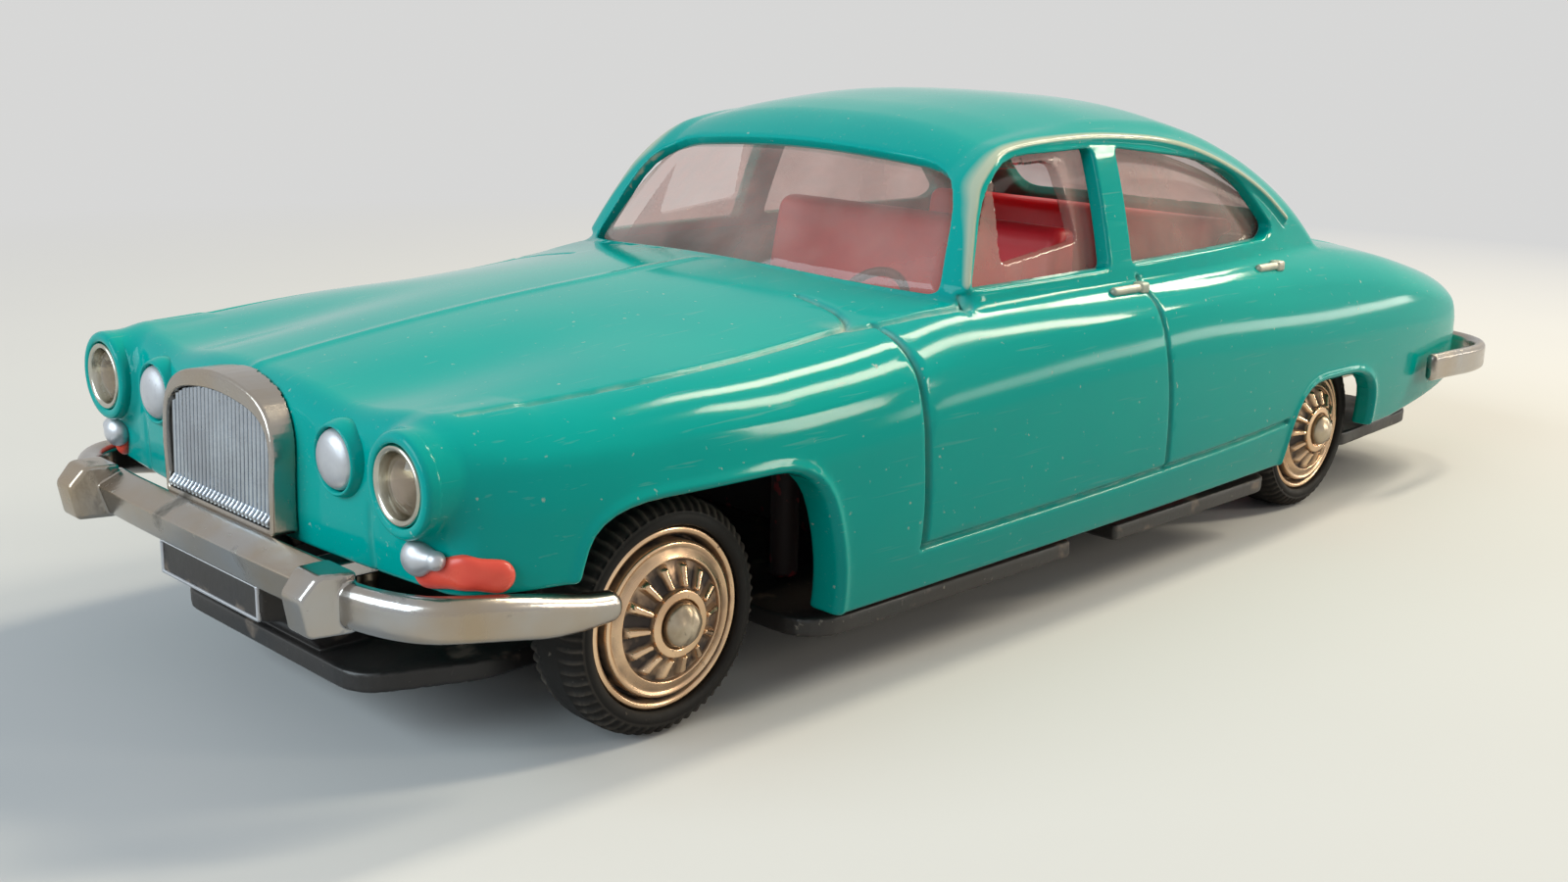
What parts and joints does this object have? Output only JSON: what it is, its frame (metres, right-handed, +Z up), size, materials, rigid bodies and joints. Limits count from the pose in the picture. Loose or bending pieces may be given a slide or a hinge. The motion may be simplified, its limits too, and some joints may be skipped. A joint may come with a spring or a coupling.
{
  "type": "plastic model car",
  "caption": "Toy four-door saloon car: hollow moulded shell with clear glazing, seat tub, plated grille and bumpers, flat base and free-running wheels on nail-headed axles.",
  "frame": {"origin": "middle of the overall box, on the ground plane under the car", "axes": "+Y towards the rear of the car, +X towards the car's left side, +Z up"},
  "size_m": [0.0448, 0.1238, 0.0343],
  "materials": {
    "body_plastic": "gloss, lightly worn",
    "glazing": "clear plastic, hazy",
    "interior_plastic": "satin",
    "base_plastic": "satin, worn edges",
    "steel": "dull",
    "plated_trim": "vacuum plated, tarnished",
    "plated_hub": "vacuum plated",
    "tyre": "matt",
    "lens": "clear"
  },
  "bodies": {
    "chassis": {"body_shell": "body_plastic", "glazing": "glazing", "interior": "interior_plastic", "steering_wheel": "base_plastic", "baseplate": "base_plastic", "base_screw_front": "steel", "base_screw_rear": "steel", "front_axle": "steel", "rear_axle": "steel", "grille": "plated_trim", "front_bumper": "plated_trim", "rear_bumper": "plated_trim", "headlamp_bowl_left": "plated_trim", "headlamp_lens_left": "lens", "inner_lamp_left": "plated_trim", "headlamp_bowl_right": "plated_trim", "headlamp_lens_right": "lens", "inner_lamp_right": "plated_trim"},
    "wheel_front_left": {"hub_front_left": "plated_hub", "tyre_front_left": "tyre"},
    "wheel_front_right": {"hub_front_right": "plated_hub", "tyre_front_right": "tyre"},
    "wheel_rear_left": {"hub_rear_left": "plated_hub", "tyre_rear_left": "tyre"},
    "wheel_rear_right": {"hub_rear_right": "plated_hub", "tyre_rear_right": "tyre"}
  },
  "joints": [
    {"name": "wheel_front_left_spin", "type": "hinge", "parent": "chassis", "child": "wheel_front_left", "pos_m": [0.0165, -0.0419, 0.0069], "axis": [1, 0, 0], "continuous": true},
    {"name": "wheel_front_right_spin", "type": "hinge", "parent": "chassis", "child": "wheel_front_right", "pos_m": [-0.0165, -0.0419, 0.0069], "axis": [1, 0, 0], "continuous": true},
    {"name": "wheel_rear_left_spin", "type": "hinge", "parent": "chassis", "child": "wheel_rear_left", "pos_m": [0.0165, 0.0295, 0.0069], "axis": [1, 0, 0], "continuous": true},
    {"name": "wheel_rear_right_spin", "type": "hinge", "parent": "chassis", "child": "wheel_rear_right", "pos_m": [-0.0165, 0.0295, 0.0069], "axis": [1, 0, 0], "continuous": true}
  ]
}
